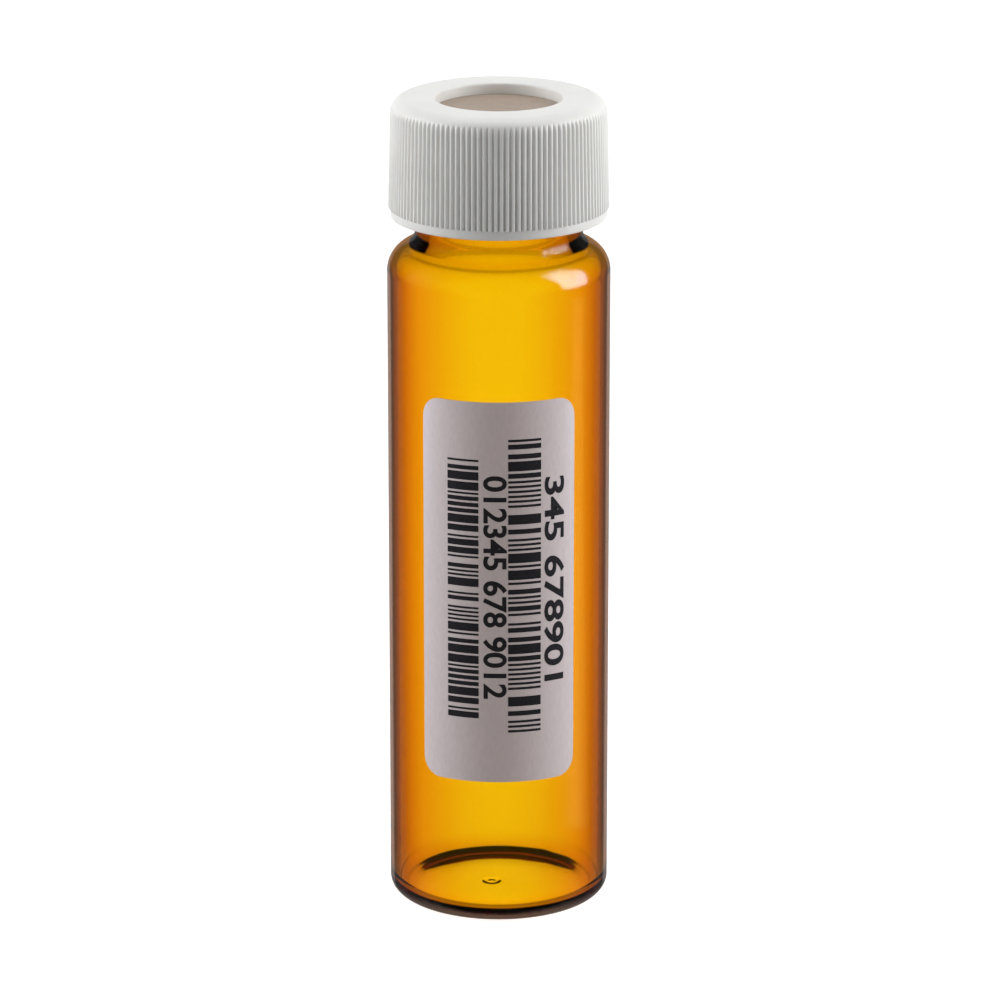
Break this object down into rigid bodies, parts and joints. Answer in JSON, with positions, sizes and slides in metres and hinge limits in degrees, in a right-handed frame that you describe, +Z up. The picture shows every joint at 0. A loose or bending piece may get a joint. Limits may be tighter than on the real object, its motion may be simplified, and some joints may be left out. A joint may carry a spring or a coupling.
{
  "type": "glass sample vial",
  "caption": "Cylindrical amber glass sample vial with a short threaded neck, a ribbed open-top screw cap over a flat septum, and a curved label.",
  "frame": {"origin": "centre of the circle that the vial stands on, at the bottom of its bounding box", "axes": "+Z up along the vial's axis, towards the cap. The label faces -Y, and +X is to the right of a viewer who faces the label"},
  "size_m": [0.0274, 0.0276, 0.1026],
  "materials": {
    "amber_glass": "clear amber glass, fire polished",
    "label_film": null,
    "septum_rubber": "smooth beige silicone rubber",
    "white_cap": "moulded white polypropylene, satin"
  },
  "bodies": {
    "vial": {"glass_vial": "amber_glass", "label": "label_film"},
    "septum": {"septum": "septum_rubber"},
    "cap": {"screw_cap": "white_cap"}
  },
  "joints": [
    {"name": "septum_lift", "type": "slide", "parent": "vial", "child": "septum", "axis": [0, 0, 1], "range_m": [0, 0.0127]},
    {"name": "cap_turn", "type": "hinge", "parent": "septum", "child": "cap", "pos_m": [0, 0, 0.095], "axis": [0, 0, 1], "range_deg": [0, 1440]}
  ],
  "couplings": [
    {"joint": "septum_lift", "follows": "cap_turn", "m_per_rad": 0.00050532}
  ]
}
